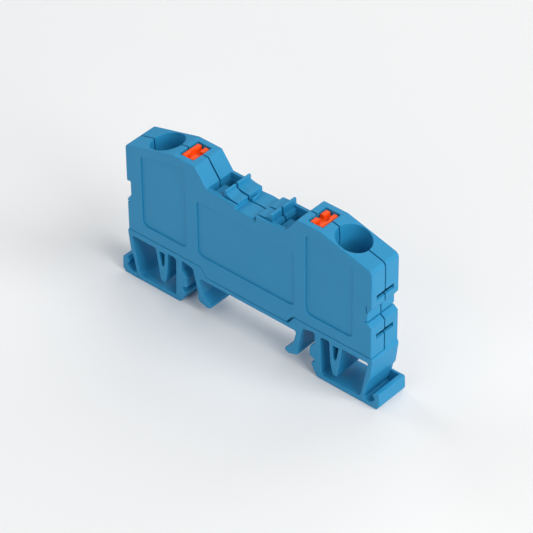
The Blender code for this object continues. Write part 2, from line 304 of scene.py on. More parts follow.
def place(piece, body, node_names, finish, slot_name):
    """Finishes a piece: its shading, material, body, and the solids it stands for."""
    tidy_mesh(piece)
    piece.data.materials.clear()
    piece.data.materials.append(finish)
    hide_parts(*node_names)
    if body:
        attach(piece, body)
    mesh = piece.data
    print(f"{piece.name}: {len(mesh.polygons)} faces, {len(mesh.vertices)} points")


print("crease angle in degrees:", round(CREASE_ANGLE * 180 / pi))

# %% [markdown]
# ## Writing shaders as sums
#
# A material is a small network of nodes. Here a socket is wrapped in a class, so that
# `grain * 0.5 + 0.2` adds the Math nodes by itself. Every other node comes from one
# method: its type, its settings, and what goes into its sockets.

# %% A small language for nodes
class Wire:
    """A socket's output. Arithmetic on it adds Math nodes."""

    def __init__(self, finish, socket):
        self.finish = finish
        self.socket = socket

    def math(self, operation, first, second):
        return self.finish.node("Math", {"operation": operation}, {0: first, 1: second})

    def __add__(self, other):
        return self.math("ADD", self, other)

    def __sub__(self, other):
        return self.math("SUBTRACT", self, other)

    def __rsub__(self, other):
        return self.math("SUBTRACT", other, self)

    def __mul__(self, other):
        return self.math("MULTIPLY", self, other)

    __radd__ = __add__
    __rmul__ = __mul__


class Finish:
    """One material, built node by node on a Principled shader."""

    def __init__(self, name, **constants):
        self.material = bpy.data.materials.new(name)
        self.material.use_nodes = True
        self.tree = self.material.node_tree
        self.shader = self.tree.nodes["Principled BSDF"]
        for socket, value in constants.items():
            self.shader.inputs[socket.replace("_", " ")].default_value = value

    def node(self, kind, settings=None, inputs=None, output=0):
        """A node of that kind, with its settings made first and its sockets filled."""
        made = self.tree.nodes.new("ShaderNode" + kind)
        for name, value in (settings or {}).items():
            if name == "stops":
                for element, (spot, colour) in zip(made.color_ramp.elements, value):
                    element.position = spot
                    element.color = colour
            else:
                setattr(made, name, value)
        for name, value in (inputs or {}).items():
            self.fill(made.inputs[name], value)
        return Wire(self, made.outputs[output])

    def fill(self, socket, value):
        if isinstance(value, Wire):
            self.tree.links.new(value.socket, socket)
        else:
            socket.default_value = value

    def feed(self, **sockets):
        """Links what varies over the surface into the shader."""
        for name, value in sockets.items():
            self.fill(self.shader.inputs[name.replace("_", " ")], value)

    def millimetres(self, stretch=(1, 1, 1)):
        """Places on the piece in millimetres, squeezed along an axis to stretch a pattern."""
        spot = self.node("TexCoord", output="Object")
        scale = [s / MM for s in stretch]
        return self.node("VectorMath", {"operation": "MULTIPLY"}, {0: spot, 1: scale})

    def noise(self, where, scale, detail=2.0, roughness=0.5, seed=0.0):
        """Soft random values from 0 to 1, with that many waves to the millimetre."""
        moved = self.node("VectorMath", {"operation": "ADD"}, {0: where, 1: (seed,) * 3})
        sockets = {"Vector": moved, "Scale": scale, "Detail": detail, "Roughness": roughness}
        return self.node("TexNoise", {"noise_dimensions": "3D"}, sockets)

    def mix(self, amount, first, second):
        """One colour turning into another."""
        settings = {"data_type": "RGBA"}
        return self.node("Mix", settings, {0: amount, 6: first, 7: second}, output=2)

    def bump(self, height, depth, strength=1.0):
        """A small relief: height from 0 to 1, and its depth in millimetres."""
        sockets = {"Height": height, "Distance": depth * MM, "Strength": strength}
        return self.node("Bump", None, sockets)


print("sockets on the shader:", len(Finish("spare").shader.inputs))
bpy.data.materials.remove(bpy.data.materials["spare"])

# %% [markdown]
# ## Blue polyamide
#
# The halves are moulded in blue polyamide against a spark-eroded steel mould, which
# leaves a fine even grain. The colour is dyed right through, so it hardly varies. The
# sheen does: it is a little duller where the melt met the mould last.

# %% The housing's finish
DEEP_BLUE = (0.014, 0.230, 0.450, 1)
CLEAR_BLUE = (0.020, 0.260, 0.490, 1)


def moulded(name, dark, light, gloss, seed):
    """Moulded plastic: two close colours, a fine grain and a slightly uneven sheen."""
    finish = Finish(name, Specular_IOR_Level=0.32)
    where = finish.millimetres()
    cloud = finish.noise(where, 0.11, detail=3, seed=seed)
    grain = finish.noise(where, 7.0, detail=2, roughness=0.6, seed=seed)
    pits = finish.noise(where, 2.2, detail=1, seed=seed + 5)
    finish.feed(
        Base_Color=finish.mix(cloud, dark, light),
        Roughness=cloud * 0.08 + grain * 0.10 + (gloss - 0.09),
        Normal=finish.bump(grain + pits * 0.5, 0.012, 0.55),
    )
    return finish.material


rear_blue = moulded("rear_half_polyamide", DEEP_BLUE, CLEAR_BLUE, 0.52, 0.0)
cover_blue = moulded("cover_half_polyamide", DEEP_BLUE, CLEAR_BLUE, 0.52, 31.0)
print("blue finishes:", rear_blue.name, cover_blue.name)

# %% [markdown]
# ## Orange buttons, tinned copper and steel
#
# The buttons are a brighter, slightly glossier moulding. The metal parts are stamped
# from strip, so their fine rolling marks run one way: a noise squeezed along X gives
# long streaks. The tin plate is softer and cloudier than the bare steel.

# %% Finishes of the small parts
button_orange = moulded(
    "button_plastic", (0.84, 0.066, 0.002, 1), (0.92, 0.086, 0.003, 1), 0.42, 12.0
)


def rolled(name, dark, light, gloss, streak_width, seed):
    """Rolled metal strip, with streaks along its length."""
    finish = Finish(name, Metallic=1.0)
    streaks = finish.noise(finish.millimetres((0.12, 1, 1)), streak_width, detail=3, seed=seed)
    cloud = finish.noise(finish.millimetres(), 0.5, detail=2, seed=seed)
    finish.feed(
        Base_Color=finish.mix(streaks * 0.6 + cloud * 0.4, dark, light),
        Roughness=streaks * 0.16 + (gloss - 0.08),
        Normal=finish.bump(streaks, 0.006, 0.4),
    )
    return finish.material


tinned_copper = rolled("tinned_copper", (0.66, 0.62, 0.56, 1), (0.80, 0.77, 0.71, 1), 0.36, 3.0, 3)
cage_steel = rolled("cage_sheet_steel", (0.46, 0.47, 0.48, 1), (0.60, 0.61, 0.62, 1), 0.38, 5.0, 9)
spring_steel = rolled(
    "spring_strip_steel", (0.50, 0.50, 0.51, 1), (0.68, 0.69, 0.70, 1), 0.27, 6.0, 17
)
print("metal finishes:", tinned_copper.name, cage_steel.name, spring_steel.name)

# %% [markdown]
# ## The outline of the block
#
# The right-hand half is drawn from the middle out: the hollowed bridge carrier, its
# ridge, the valley, the steep facet, the flat with the button and the long slope with
# the wire entry. The left-hand half is its mirror image. Below come the rail feet, whose
# hooks hold the two edges of a 35 mm rail.

# %% Outlines of the top and the feet
SHOULDER_Z = 33.4
CREASE_X = 19.25
CREST_X = 13.2
WAIST = (10.25, 32.7)
CARRIER_EDGE_X = 2.65
RIDGE_X = (5.6, 6.2)
COVER_RIDGE = (34.0, 33.3)
REAR_RIDGE = (34.05, 32.95)
RIM_END_Z = 32.4
LEDGE_Z = 32.1
RAIL_HALF_WIDTH = 17.5


def top_corners(ridge=None):
    """The right-hand half of the top, with the heights of a ridge and of its carrier if any."""
    ridge_z, carrier_z = ridge or (0, 0)
    carrier = [
        (CARRIER_EDGE_X, 32.5, 0.12),
        (4.5, 32.65, 1.5),
        (RIDGE_X[0], carrier_z, 0.05),
        (RIDGE_X[0], ridge_z, 0.16),
        (RIDGE_X[1], ridge_z, 0.2),
        (RIDGE_X[1], WAIST[1], 0.1),
    ]
    return [
        (0, 31.75, 16.0),
        (CARRIER_EDGE_X, 31.35, 0.15),
        *(carrier if ridge else [(CARRIER_EDGE_X, RIM_END_Z, 0.15)]),
        (*WAIST, 0.1),
        (CREST_X, HEIGHT - 0.05, 0.35),
        (CREASE_X, HEIGHT, 0.8),
        (HALF_LENGTH, SHOULDER_Z, 1.2),
    ]


def foot_corners():
    """The right-hand half of the underside, from the end face in to the middle."""
    return [
        (32.35, 11.5, 0.3),
        (32.05, 9.0, 2.0),
        (31.7, 6.5, 1.5),
        (31.1, 5.3, 1.0),
        (30.25, 1.3, 0.3),
        (31.5, 1.0, 0.3),
        (32.5, 1.6, 0.2),
        (33.0, 2.2, 0.2),
        (32.4, 3.2, 0.15),
        (33.0, 4.0, 0.3),
        (34.1, 3.95, 0.3),
        (LIP_X, 1.0, 0.4),
        (33.5, 0, 0.3),
        (18.1, 0, 1.5),
        (17.45, 1.3, 0.4),
        (16.65, 2.95, 0.15),
        (RAIL_HALF_WIDTH, 3.45, 0.12),
        (RAIL_HALF_WIDTH, 4.15, 0.12),
        (16.3, 4.75, 0.15),
        (16.35, 7.0, 0.3),
        (17.6, 8.3, 0.3),
        (17.6, 11.0, 0.5),
        (14.6, 10.4, 0.5),
        (14.05, 8.4, 2.0),
        (13.3, 4.8, 1.0),
        (13.3, 2.9, 0.8),
        (10.8, 2.1, 0.5),
        (9.8, 2.6, 0.15),
        (9.95, 3.2, 0.2),
        (11.9, 5.1, 0.8),
        (12.3, 6.3, 1.0),
        (12.8, 8.8, 0.5),
    ]


print("corners in half the underside:", len(foot_corners()))

# %% [markdown]
# ## Notches and the line between cover and base
#
# Each end face has a notch, and the two notches are the other way up from each other. A
# narrow groove runs along each ledge. The front cover stops at a line above the feet, and
# the base strip below it belongs to the rear half. The line steps down in the middle.

# %% Whole outlines
COVER_LINE_Z = 12.05
COVER_LINE_CENTRE_Z = 9.95
COVER_GAP = 0.1


def end_notch(side):
    """The notch in the end face, from the top down."""
    if side > 0:
        groove = [(31.0, 20.9), (30.2, 20.8), (30.2, 20.45), (31.0, 20.4)]
        return [(32.0, 24.4, 0.15), (31.0, 22.9, 0.15), *groove, (32.0, 19.6, 0.12)]
    ledge = [(-31.0, 21.1, 0.15), (-32.0, 19.7, 0.1)]
    groove = [(-32.0, 19.35, 0.05), (-31.3, 19.25), (-31.3, 19.0), (-32.0, 19.0, 0.05)]
    return [(-32.0, 24.4, 0.15), (-31.0, 24.4, 0.1), *ledge, *groove]


def cover_line(lift, half_length):
    """The edge between cover and base strip, right to left, raised by the lift."""
    right = [
        (half_length, COVER_LINE_Z, 0.1),
        (12.3, COVER_LINE_Z, 0.2),
        (10.75, COVER_LINE_CENTRE_Z, 0.2),
    ]
    whole = right + flipped(right, -1)[::-1]
    return [(c[0], c[1] + lift, *c[2:]) for c in whole]


def upper_corners(ridge=None):
    """Everything above the cover line, left to right."""
    half = top_corners(ridge)
    return end_notch(-1)[::-1] + flipped(half, -1)[:0:-1] + half + end_notch(1)


def underside_corners():
    return foot_corners() + flipped(foot_corners(), -1)[::-1]


def housing_corners():
    right, left = (32.0, 12.3, 0.2), (-32.0, 12.3, 0.2)
    return upper_corners(REAR_RIDGE) + [right] + underside_corners() + [left]


def base_corners():
    """The strip and feet below the cover line, which are as wide as the whole block."""
    return cover_line(-COVER_GAP / 2, 32.1)[::-1] + underside_corners()


def cover_corners(ridge=None):
    return upper_corners(ridge) + cover_line(COVER_GAP / 2, HALF_LENGTH)


print("corners round the whole housing:", len(housing_corners()))

# %% [markdown]
# ## Pockets that both halves share
#
# The halves are hollow between their outer walls. The same cutters go through both: the
# clamp chambers, the tunnel of the current bar, the button windows, the bridging slots
# and the wire entries. The rims that a finger or a wire meets are rounded.

# %% Cutters for the shared pockets
CAVITY_Y = 3.05
INSIDE = [(-CAVITY_Y, 0), (CAVITY_Y, 0)]
ENTRY_X = 24.1
ENTRY_RADIUS = 3.7
ENTRY_RIM = 0.14
ENTRY_DEPTHS = [(3.0, 3.5), (5.0, 3.4), (6.5, 3.0), (8.5, 2.3), (10.5, 2.3)]
ENTRY_ABOVE = 2.0
ENTRY_UPRIGHT = 4.0
ENTRY_LEAN = 0.42
ENTRY_SEGMENTS = 72
BUTTON_X = (15.05, 18.25)
BUTTON_HALF_WIDTH = 2.4
BUTTON_TOP_Z = 36.55
WINDOW_GAP = 0.3
SLOT_FLOOR_Z = 31.3
SLOT_HALF_WIDTH = 3.3
SLOT_WAY_X = (6.95, WAIST[0])
SLOT_WAY_Y = (0.9, SLOT_HALF_WIDTH)
SLOT_DEEP_Z = 30.3
GROOVE_WIDTH = 0.38
SHELF_ROOT = 0.05


def entry_cutter(label, side):
    """A round funnel with a rounded mouth: upright at first, then leaning to the clamp."""
    slope = (HEIGHT - SHOULDER_Z) / (HALF_LENGTH - CREASE_X)
    wide = ENTRY_RADIUS + ENTRY_RIM
    mouth = [(ENTRY_RIM * (1 - cos(a)), wide - ENTRY_RIM * sin(a)) for a in EDGE_TURNS]
    stations = [(-ENTRY_ABOVE, wide)] + mouth + ENTRY_DEPTHS
    mouth_z = SHOULDER_Z + (HALF_LENGTH - ENTRY_X) * slope
    turns = [2 * pi * i / ENTRY_SEGMENTS for i in range(ENTRY_SEGMENTS)]
    rings = []
    for depth, radius in stations:
        centre_x = ENTRY_X - ENTRY_LEAN * max(0, depth - ENTRY_UPRIGHT)
        spots = [(centre_x + radius * cos(a), radius * sin(a)) for a in turns]
        level = mouth_z - depth + slope * ENTRY_X
        rings.append([Vector((side * x, y, level - slope * x)) for x, y in spots])
    return joined_rings(f"{label}_entry_cutter", rings)


def clamp_chamber(side):
    corners = [
        (9.9, 14.6, 0.4),
        (24.9, 14.6, 0.4),
        (26.9, 24.6, 0.1),
        (26.9, 26.4, 0.6),
        (19.5, 26.4, 0.2),
        (19.2, 29.9, 0.4),
        (11.3, 29.9, 0.6),
        (11.3, 22.6, 0.2),
        (9.9, 22.6, 0.2),
    ]
    return flipped(corners, side)


def slot_trough(side):
    """The trough of the bridging slot, with the narrow ledge beside the ridge."""
    inner = RIDGE_X[1]
    corners = [
        (inner, LEDGE_Z, 0.05),
        (inner + 0.4, LEDGE_Z, 0.1),
        (SLOT_WAY_X[0], SLOT_FLOOR_Z, 0.05),
        (SLOT_WAY_X[0], SLOT_DEEP_Z, 0.1),
        (WAIST[0], SLOT_DEEP_Z, 0.1),
        (WAIST[0], 35.0, 0.05),
        (inner, 33.6, 0.05),
    ]
    return flipped(corners, side)


def slot_plate(side):
    """The shelf in the slot, clear of the left-hand wall by a groove."""
    left_wall, right_wall = sorted(side * x for x in SLOT_WAY_X)
    across = (left_wall + GROOVE_WIDTH, right_wall + SHELF_ROOT)
    return rectangle(across, (SLOT_DEEP_Z - 2 * SHELF_ROOT, SLOT_FLOOR_Z), 0.08)


def end_pocket(side):
    corners = [(26.2, 14.6, 0.4), (29.9, 14.6, 0.4), (29.9, 30.8, 0.4), (28.9, 30.8, 0.3)]
    return flipped(corners + [(28.2, 24.6, 0.3)], side)


print("entry bore across in mm:", 2 * ENTRY_RADIUS)

# %% [markdown]
# ## The snap slots in the end faces
#
# The halves are held by little snap hooks that show in the end faces as a dark slot above
# a short sill. One cutter makes the slot, right through the wall, and reaches down behind
# the sill, which leaves it standing.

# %% A set of cutters for one half
SNAP_SLOTS = {"high": (25.8, 27.0), "low": (16.2, 17.4)}
SNAP_HALF_WIDTH = 2.6
SNAP_SILL_X = HALF_LENGTH - 0.5
SNAP_SLOPE = 0.15
SNAP_INNER_X = 29.4
SNAP_DROP = 1.6
BEYOND_FACE_X = HALF_LENGTH + 0.5
WINDOW_DEEP_Z = 29.5
SLOT_WAY_DEEP_Z = 22


def snap_cutters(label, side):
    cutters = []
    ends = [(-SNAP_HALF_WIDTH, 0), (SNAP_HALF_WIDTH, 0)]
    for height, (low, high) in SNAP_SLOTS.items():
        hollow = [
            (SNAP_INNER_X, low - SNAP_DROP, 0.1),
            (SNAP_SILL_X, low - SNAP_DROP, 0.1),
            (SNAP_SILL_X, low + SNAP_SLOPE, 0.03),
            (HALF_LENGTH, low, 0.04),
            (BEYOND_FACE_X, low - 0.1, 0.03),
            (BEYOND_FACE_X, high, 0.03),
            (SNAP_INNER_X, high, 0.1),
        ]
        ring = cornered(flipped(hollow, side))
        cutters.append(loft(f"{label}_{height}_snap_cutter", ring, ends))
    return cutters


def side_cutters(label, side):
    """The cutters of one end of the block."""
    window_x = sorted(side * (x + g) for x, g in zip(BUTTON_X, (-WINDOW_GAP, WINDOW_GAP)))
    window_y = BUTTON_HALF_WIDTH + WINDOW_GAP
    window = cornered(rectangle(window_x, (-window_y, window_y), 0.15))
    way = cornered(rectangle([side * x for x in SLOT_WAY_X], SLOT_WAY_Y, 0.15))
    trough_ends = [(-SLOT_HALF_WIDTH, 0), (SLOT_HALF_WIDTH, 0)]
    window_depths = cutter_stations(WINDOW_DEEP_Z, HEIGHT - 0.02, 0.12)
    way_depths = cutter_stations(SLOT_WAY_DEEP_Z, SLOT_FLOOR_Z, 0.08, 0.5)
    return [
        loft(f"{label}_chamber_cutter", cornered(clamp_chamber(side)), INSIDE),
        loft(f"{label}_end_pocket_cutter", cornered(end_pocket(side)), INSIDE),
        loft(f"{label}_window_cutter", window, window_depths, "Z"),
        loft(f"{label}_trough_cutter", cornered(slot_trough(side)), trough_ends),
        loft(f"{label}_way_cutter", way, way_depths, "Z"),
        entry_cutter(label, side),
        *snap_cutters(label, side),
    ]


def pocket_cutters():
    """A fresh set of everything that is hollow across the parting."""
    tunnel = rectangle((-10.5, 10.5), (19.3, 22.6), 0.3)
    low = rectangle((-8.9, 8.9), (12.6, 18.3), 0.4)
    high = rectangle((-6.4, 6.4), (23.8, 30.0), 0.4)
    cutters = [
        loft("tunnel_cutter", cornered(tunnel), INSIDE),
        loft("low_pocket_cutter", cornered(low), INSIDE),
        loft("high_pocket_cutter", cornered(high), INSIDE),
    ]
    for label, side in SIDES.items():
        cutters += side_cutters(label, side)
    return cutters


print("snap slots in each end face:", len(SNAP_SLOTS))

# %% [markdown]
# ## The rear half
#
# The rear half carries the feet. It is two lofts joined: the full outline behind the
# parting, and the base strip that runs under the cover to the front face. The feet are
# pierced by a window with a hanging rib, which lets them flex onto the rail.

# %% Foot windows
def foot_window(side):
    """The opening in the foot, with the rib that hangs into it."""
    corners = [
        (19.05, 10.8, 0.8),
        (21.35, 10.8, 0.3),
        (21.7, 5.4, 2.0),
        (22.3, 2.9, 0.4),
        (23.5, 3.0, 0.4),
        (23.7, 4.4, 1.0),
        (24.7, 10.6, 0.3),
        (31.25, 10.6, 0.4),
        (29.5, 2.0, 0.8),
        (28.95, 1.2, 0.2),
        (19.4, 1.2, 0.4),
    ]
    return flipped(corners, side)


def foot_web(side):
    """The web between the foot's sloping wall and its lip, at the rear face only."""
    return flipped([(30.3, 0.8), (34.0, 0.8), (34.1, 3.95, 0.3), (30.6, 3.95, 0.1)], side)


def rib_hole(side):
    corners = [(22.25, 10.3, 0.2), (23.8, 10.3, 0.2), (23.15, 6.9, 0.2), (22.45, 6.9, 0.2)]
    return flipped(corners, side)


WEB_THICKNESS = 0.6
OUTER_ROUND = 0.2
PARTING_ROUND = 0.07
FOOT_RIM = 0.14


def foot_cutters():
    cutters = []
    for label, side in SIDES.items():
        rims = through_stations(-HALF_WIDTH, HALF_WIDTH, FOOT_RIM)
        cutters.append(loft(f"{label}_foot_cutter", cornered(foot_window(side)), rims))
        cutters.append(loft(f"{label}_rib_cutter", cornered(rib_hole(side)), rims))
    return cutters


print("rounding of the outer edges in mm:", OUTER_ROUND)

# %% [markdown]
# ## Closing the seam
#
# The two halves don't touch: a fine gap between them makes the seam. Light would pass
# right through it, so the rear half has thin tongues inside its walls that reach across.

# %% Tongues that close the seam
SEAM_TONGUES = {
    # name: the stretch in x and z, well behind the outer faces
    "end": ((30.1, 30.6), (12.6, 32.6)),
    "entry": ((19.15, 19.75), (28.5, 35.3)),
    "step": ((12.7, 13.7), (30.5, 35.4)),
    "inner": ((27.2, 27.7), (22.0, 29.5)),
}


def seam_tongues(label, side):
    """Thin tongues across the seam, so that no light passes between the halves."""
    across = [(-PARTING_GAP / 2 + 0.01, 0), (PARTING_GAP / 2 + 0.05, 0)]
    tongues = []
    for name, (x_range, z_range) in SEAM_TONGUES.items():
        shape = cornered(rectangle([side * x for x in x_range], z_range, 0.03))
        tongues.append(loft(f"{label}_{name}_tongue_join", shape, across))
    return tongues


print("tongues on each side:", len(SEAM_TONGUES))

# %% [markdown]
# ## Joining the parts of the rear half
#
# A boolean union needs the two lofts to overlap, so the base strip reaches a little way
# past the parting into the rear wall. The small rib at the foot of the left step and the
# shelves in the bridging slots are part of the rear half too.

# %% Build the rear half
STRIP_DEEP_Y = 1.0
STEP_RIB = ((-2.25, -1.75), (31.0, 31.95))
STEP_RIB_Y = (0.15, 2.4)


def make_rear_half():
    behind = solid_stations(PARTING_GAP / 2, HALF_WIDTH, PARTING_ROUND, OUTER_ROUND)
    below = solid_stations(-HALF_WIDTH, STRIP_DEEP_Y, OUTER_ROUND, 0)
    body = loft("rear_half", cornered(housing_corners()), behind)
    strip_part = loft("base_strip_join", cornered(base_corners()), below)
    rib_stations = solid_stations(*STEP_RIB_Y, 0.07, 0.12)
    joins = [strip_part]
    joins.append(loft("step_rib_join", cornered(rectangle(*STEP_RIB, 0.12)), rib_stations))
    for label, side in SIDES.items():
        thin = solid_stations(HALF_WIDTH - WEB_THICKNESS, HALF_WIDTH, 0.08, OUTER_ROUND)
        joins.append(loft(f"{label}_web_join", cornered(foot_web(side)), thin))
        joins += seam_tongues(label, side)
    combine(body, joins, "UNION")
    combine(body, pocket_cutters() + foot_cutters())
    shelves = solid_stations(-SLOT_HALF_WIDTH + 0.1, SLOT_WAY_Y[0], 0.06, 0.06)
    plates = [loft(f"{k}_shelf_join", cornered(slot_plate(v)), shelves) for k, v in SIDES.items()]
    combine(body, plates, "UNION")
    return body


rear_half = make_rear_half()
place(rear_half, "housing", ["rear_housing"], rear_blue, "rear_housing")

# %% [markdown]
# ## The front cover
#
# The cover is the flat lid that is seen from the front. Its wall ends in a plain rim
# along the middle of the top, and the bridge carrier with its ridges stands behind that
# rim, a narrow gap away. Three shallow panels are sunk in its face.

# %% Panels of the cover
PANEL_DEPTH = 0.3
PANEL_RIM = 0.04
RIM_Y = 3.6
RIM_GAP = 0.32


def panel_cutters():
    left = [
        (-27.9, 14.9, 1.3),
        (-27.9, 32.2, 0.8),
        (-24.7, 33.0, 1.0),
        (-16.0, 35.1, 0.6),
        (-16.0, 14.9, 1.3),
    ]
    right = [(27.3, 14.8, 1.3), (27.3, 32.3, 0.6), (15.35, 34.2, 0.6), (15.35, 14.8, 1.3)]
    centre = [(-13.0, 14.9, 1.3), (12.4, 14.9, 1.3), (12.4, 28.4, 0.6), (-13.0, 28.4, 0.6)]
    rims = cutter_stations(-HALF_WIDTH + PANEL_DEPTH, -HALF_WIDTH, PANEL_RIM)
    panels = {"left": left, "right": right, "centre": centre}
    return [loft(f"{k}_panel_cutter", cornered(v), rims) for k, v in panels.items()]


def rim_gap_cutters():
    """The narrow gap between the cover's rim and the bridge carrier."""
    cutters = []
    for label, side in SIDES.items():
        across = [side * CARRIER_EDGE_X - side * 0.02, side * (RIDGE_X[1] + 0.3)]
        gap = cornered(rectangle(across, (-RIM_Y, -RIM_Y + RIM_GAP), 0.03))
        cutters.append(loft(f"{label}_rim_gap_cutter", gap, [(LEDGE_Z, 0), (35.5, 0)], "Z"))
    return cutters


SEAM_WIDENINGS = {
    # name: the stretch in x, and the width
    "left_carrier": ((-6.5, -2.4), 0.34),
    "right_carrier": ((4.5, 6.5), 0.34),
    "facet": ((-12.7, -10.3), 0.24),
}
SEAM_HEIGHTS = [(31.45, 0), (36.0, 0)]
SLIT_DEPTH = 0.8


def seam_cutters():
    """The seam is wider on the bridge carrier and on the steep facet at the left."""
    cutters = []
    for name, (span, width) in SEAM_WIDENINGS.items():
        ring = cornered(rectangle(span, (-width, 0.05), 0.03))
        cutters.append(loft(f"{name}_seam_cutter", ring, SEAM_HEIGHTS, "Z"))
    return cutters


def slit_cutters():
    """Three narrow moulded slits in the face: at the middle, below it and at the right end."""
    slits = {
        "middle": [(1.75, 31.55), (2.15, 31.55), (2.75, 30.95), (2.35, 30.95)],
        "lower": [(10.3, 10.05), (10.75, 10.05), (12.2, 11.95), (11.75, 11.95)],
        "end": [(30.75, 22.7), (30.95, 22.7), (30.7, 24.7), (30.5, 24.7)],
    }
    ends = [(-HALF_WIDTH - 1, 0), (-HALF_WIDTH + SLIT_DEPTH, 0)]
    shapes = {k: cornered([(*c, 0.03) for c in v]) for k, v in slits.items()}
    return [loft(f"{k}_slit_cutter", shape, ends) for k, shape in shapes.items()]


def make_cover():
    inner = solid_stations(-RIM_Y, -PARTING_GAP / 2, 0, PARTING_ROUND)
    wall = solid_stations(-HALF_WIDTH, -RIM_Y + 0.02, OUTER_ROUND, 0)
    body = loft("front_cover_half", cornered(cover_corners(COVER_RIDGE)), inner)
    combine(body, [loft("front_wall_join", cornered(cover_corners()), wall)], "UNION")
    combine(body, pocket_cutters() + rim_gap_cutters() + panel_cutters())
    combine(body, seam_cutters() + slit_cutters())
    return body


front_half = make_cover()
place(front_half, "housing", ["front_cover"], cover_blue, "front_cover")

# %% [markdown]
# ## The release buttons
#
# A button is an orange wedge that a screwdriver pushes down. Its top has a groove along
# the thickness, a round sink in the middle and one branch towards the block's middle, so
# that the blade can't slip off. The flared cutters leave soft, rounded posts.

# %% Build the buttons
RECESS_DEPTH = 0.9
SINK_SHIFT = 0.1
SINK_HALF = (0.85, 0.95)
BUTTON_ROUND = 0.16


def button_corners(side):
    inner, outer = BUTTON_X
    corners = [
        (inner, 0, 0.3),
        (outer, 0, 0.3),
        (outer, -7.05, 0.1),
        (18.9, -7.05, 0.15),
        (18.9, -7.8, 0.15),
        (outer, -8.3, 0.2),
        (18.2, -8.63, 0.12),
        (17.7, -8.63, 0.15),
        (inner, -6.25, 0.2),
    ]
    return [(c[0], c[1] + BUTTON_TOP_Z, c[2]) for c in flipped(corners, side)]


def make_button(label, side):
    thick = solid_stations(-BUTTON_HALF_WIDTH, BUTTON_HALF_WIDTH, BUTTON_ROUND, BUTTON_ROUND)
    button = loft(f"{label}_button", cornered(button_corners(side)), thick)
    middle = sum(BUTTON_X) / 2
    groove = rectangle([side * (middle - 0.5), side * (middle + 0.5)], (-3.5, 3.5), 0.1)
    branch = rectangle([side * (BUTTON_X[0] - 1), side * middle], (-0.65, 0.65), 0.1)
    sink = cutter_stations(BUTTON_TOP_Z - RECESS_DEPTH, BUTTON_TOP_Z, 0.16)
    half_x, half_y = SINK_HALF
    spot = [side * (middle + SINK_SHIFT + way * half_x) for way in (-1, 1)]
    round_sink = rectangle(spot, (-half_y, half_y), 0.8)
    arms = {"groove": groove, "branch": branch, "round": round_sink}
    cutters = [loft(f"{label}_{k}_cutter", cornered(v), sink, "Z") for k, v in arms.items()]
    combine(button, cutters)
    return button


for label, side in SIDES.items():
    button = make_button(label, side)
    node = f"{label}_release_button"
    place(button, f"{label}_button", [node], button_orange, node)

# %% [markdown]
# ## Bent strips
#
# The current bar and the springs are bent from flat strip. A strip is drawn as its middle
# line, and the two faces are found by stepping half the thickness to each side. Growing
# it by a little gives the rings of a loft with softened edges, as tumbling leaves them.

# %% A strip from its middle line
def middle_line(corners):
    """An open line with its inner corners rounded."""
    points = [Vector(corners[0][:2])]
    for before, corner, after in zip(corners, corners[1:], corners[2:]):
        points += rounded_corner(before, corner, after)
    return points + [Vector(corners[-1][:2])]


def strip_ring(points, thickness):
    """The ring of a bent strip, ready to be grown."""

    def ring(by):
        line = list(points)
        line[0] = points[0] + (points[0] - points[1]).normalized() * by
        line[-1] = points[-1] + (points[-1] - points[-2]).normalized() * by
        one_side, other_side = [], []
        for i, point in enumerate(line):
            back = (point - line[i - 1]).normalized() if i else Vector((0, 0))
            ahead = (line[i + 1] - point).normalized() if i + 1 < len(line) else Vector((0, 0))
            along = (back + ahead).normalized()
            lean = along.dot(ahead if i == 0 else back)
            across = Vector((-along.y, along.x)) * (thickness / 2 + by) / lean
            one_side.append(point + across)
            other_side.append(point - across)
        return one_side + other_side[::-1]

    return ring


print("points on a bent line:", len(middle_line([(0, 0), (1, 0, 0.2), (1, 1)])))

# %% [markdown]
# ## The current bar
#
# The bar carries the current from one clamp to the other. It is a stamped and tinned
# copper strip: raised in the middle, where a bridge can be plugged in through two small
# holes, with a leaning contact leg at each end that the wire is pressed against.

# %% Build the current bar
BAR_THICKNESS = 1.2
BAR_HALF_WIDTH = 2.2
BAR_ROUND = 0.1


def make_bar():
    right = [(10.95, 20.6, 0.9), (10.95, 15.8, 0.9), (21.47, 15.8, 1.2), (23.8, 24.6)]
    line = middle_line(flipped(right, -1)[::-1] + right)
    wide = solid_stations(-BAR_HALF_WIDTH, BAR_HALF_WIDTH, BAR_ROUND, BAR_ROUND)
    bar = loft("copper_bar", strip_ring(line, BAR_THICKNESS), wide)
    holes = []
    for label, side in SIDES.items():
        hole = cornered(rectangle([side * 7.8, side * 9.6], (0.9, 1.8), 0.15))
        holes.append(loft(f"{label}_hole_cutter", hole, through_stations(20.0, 21.2, 0.06), "Z"))
    combine(bar, holes)
    return bar


place(make_bar(), "housing", ["current_bar"], tinned_copper, "current_bar")

# %% [markdown]
# ## The clamp cages
#
# A cage is a folded steel sheet: a cheek on each side of the clamp, joined by a back
# behind the contact leg. Cutting one outline out of another, narrower one leaves the
# two cheeks and the back, all of the sheet's thickness.

# %% Build the cages
CAGE_HALF_WIDTH = 2.75
CAGE_WALL = 0.35


def make_cage(label, side):
    top = [(25.45, 24.7, 0.4), (19.6, 23.6, 1), (13.4, 21.6, 0.8)]
    outer = [(13.4, 15.0, 0.5), (23.1, 15.0, 0.4), *top]
    inner = [(10.0, 13.0, 0.1), (22.25, 13.0, 0.1), (25.35, 26.0, 0.1), (10.0, 26.0, 0.1)]
    wide = solid_stations(-CAGE_HALF_WIDTH, CAGE_HALF_WIDTH, 0.09, 0.09)
    clear = CAGE_HALF_WIDTH - CAGE_WALL
    cage = loft(f"{label}_cage", cornered(flipped(outer, side)), wide)
    cutter = loft(f"{label}_cage_cutter", cornered(flipped(inner, side)), [(-clear, 0), (clear, 0)])
    combine(cage, [cutter])
    return cage


